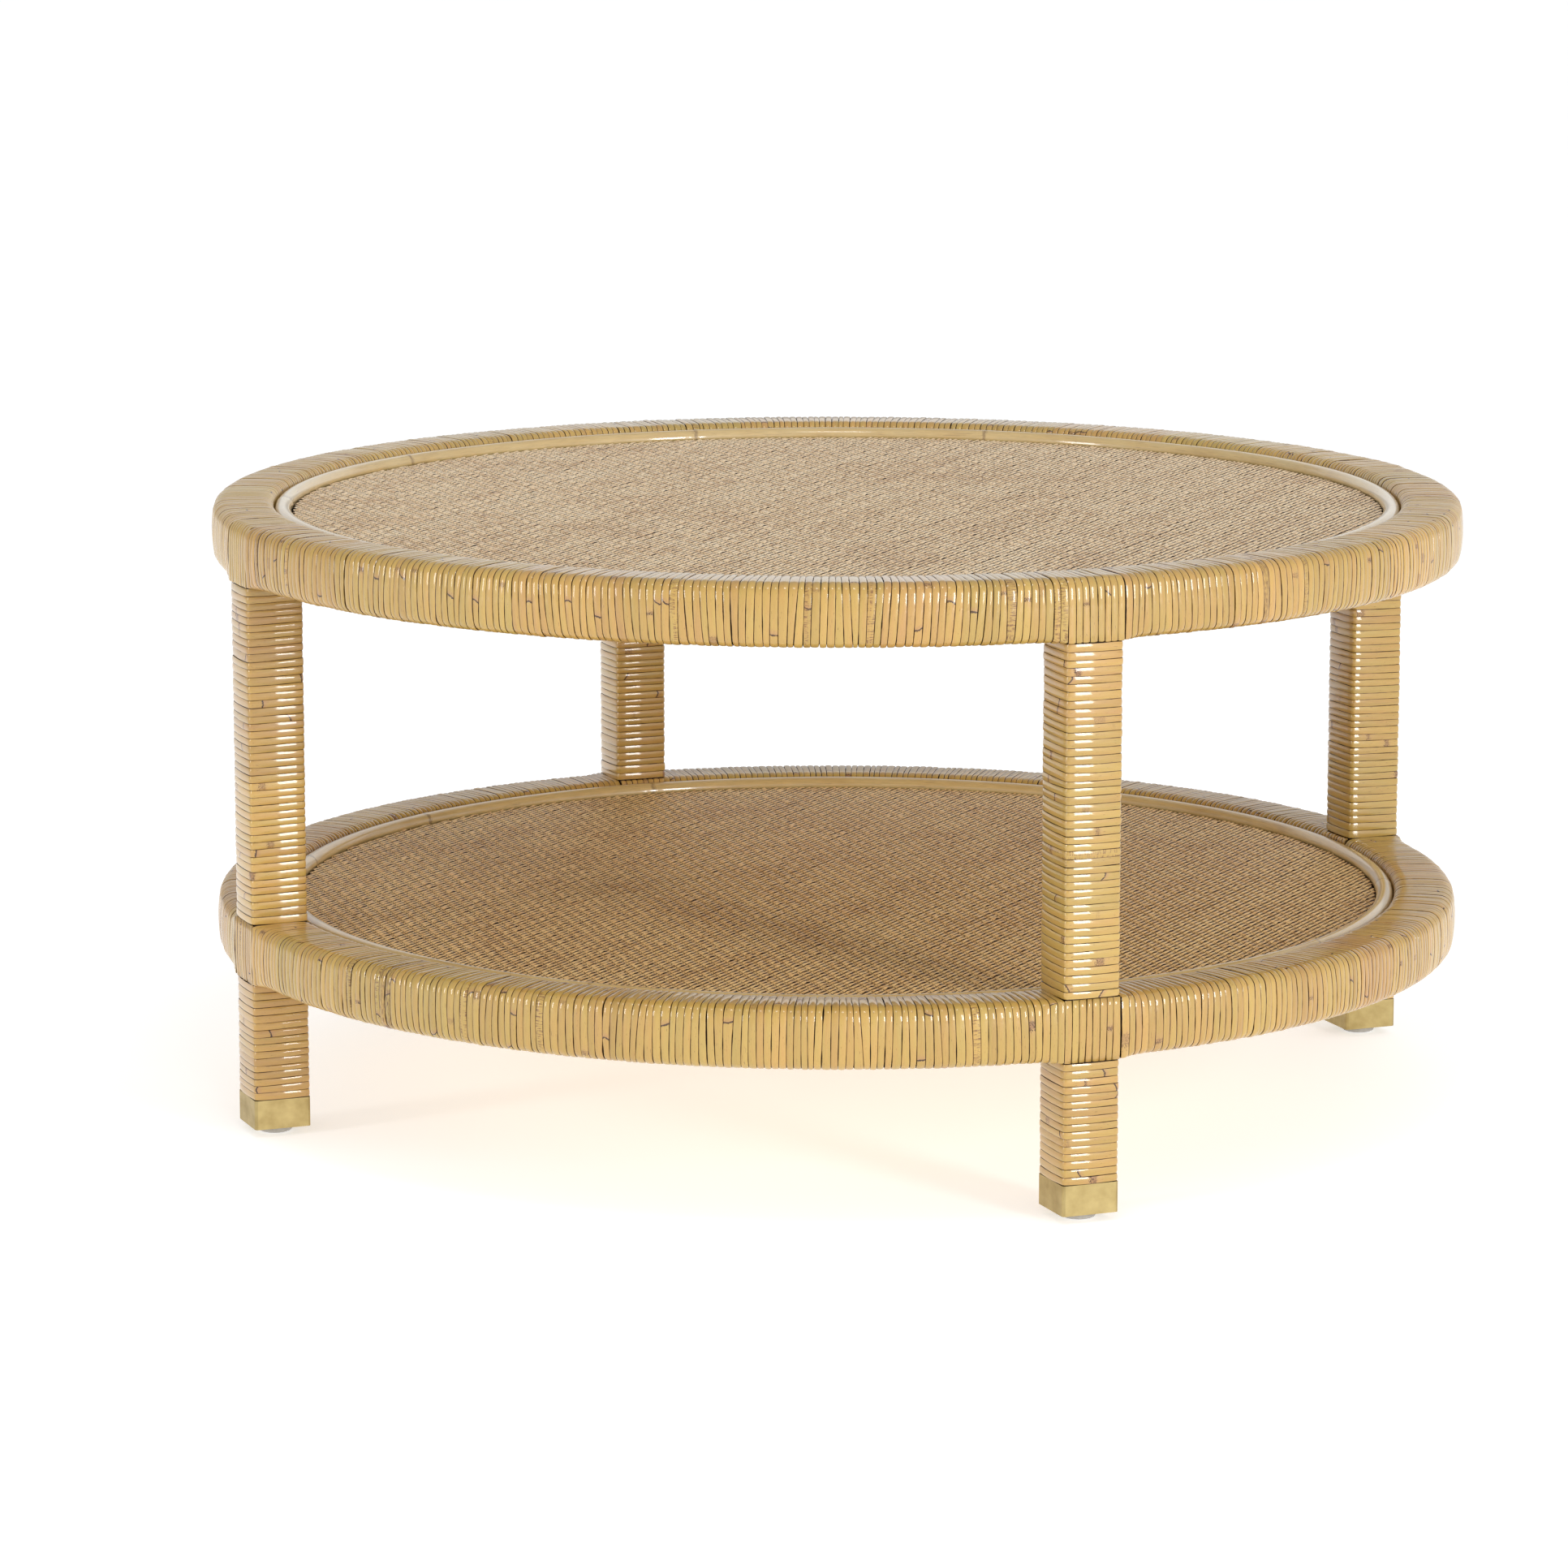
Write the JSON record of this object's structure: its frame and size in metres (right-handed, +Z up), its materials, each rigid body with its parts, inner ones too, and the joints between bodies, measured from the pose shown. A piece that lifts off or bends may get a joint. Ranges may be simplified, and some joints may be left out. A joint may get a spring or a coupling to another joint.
{
  "type": "coffee table",
  "caption": "Round low table with an open shelf: peel-wrapped rattan hoops on square legs, woven rattan panels, brass foot caps and plastic glides.",
  "frame": {"origin": "on the floor under the centre of the table", "axes": "+Z up; the legs stand on the X and Y axes, with the front leg at -Y and the right leg at +X"},
  "size_m": [0.834, 0.834, 0.403],
  "materials": {
    "rattan_peel": "glossy natural rattan peel",
    "rattan_pole": "satin natural rattan pole",
    "woven_rattan": "matt natural rattan core",
    "hardwood": "bare",
    "plywood": "bare",
    "brass": "brushed",
    "grey_plastic": "matt",
    "steel": "zinc plated"
  },
  "bodies": {
    "root": {"top_ring_core": "hardwood", "top_wrap_front_left": "rattan_peel", "top_wrap_front_right": "rattan_peel", "top_wrap_back_right": "rattan_peel", "top_wrap_back_left": "rattan_peel", "top_joint_wrap_front": "rattan_peel", "top_joint_wrap_right": "rattan_peel", "top_joint_wrap_back": "rattan_peel", "top_joint_wrap_left": "rattan_peel", "top_weave": "woven_rattan", "top_board": "plywood", "top_bead": "rattan_pole", "top_support_hoop": "hardwood", "top_screw_front": "steel", "top_screw_right": "steel", "top_screw_back": "steel", "top_screw_left": "steel", "lower_ring_core": "hardwood", "lower_wrap_front_left": "rattan_peel", "lower_wrap_front_right": "rattan_peel", "lower_wrap_back_right": "rattan_peel", "lower_wrap_back_left": "rattan_peel", "lower_joint_wrap_front": "rattan_peel", "lower_joint_wrap_right": "rattan_peel", "lower_joint_wrap_back": "rattan_peel", "lower_joint_wrap_left": "rattan_peel", "lower_weave": "woven_rattan", "lower_board": "plywood", "lower_bead": "rattan_pole", "lower_support_hoop": "hardwood", "lower_screw_front": "steel", "lower_screw_right": "steel", "lower_screw_back": "steel", "lower_screw_left": "steel", "post_front": "hardwood", "upper_leg_wrap_front": "rattan_peel", "lower_leg_wrap_front": "rattan_peel", "sabot_front": "brass", "glide_front": "grey_plastic", "glide_nail_front": "steel", "post_right": "hardwood", "upper_leg_wrap_right": "rattan_peel", "lower_leg_wrap_right": "rattan_peel", "sabot_right": "brass", "glide_right": "grey_plastic", "glide_nail_right": "steel", "post_back": "hardwood", "upper_leg_wrap_back": "rattan_peel", "lower_leg_wrap_back": "rattan_peel", "sabot_back": "brass", "glide_back": "grey_plastic", "glide_nail_back": "steel", "post_left": "hardwood", "upper_leg_wrap_left": "rattan_peel", "lower_leg_wrap_left": "rattan_peel", "sabot_left": "brass", "glide_left": "grey_plastic", "glide_nail_left": "steel"}
  },
  "joints": []
}
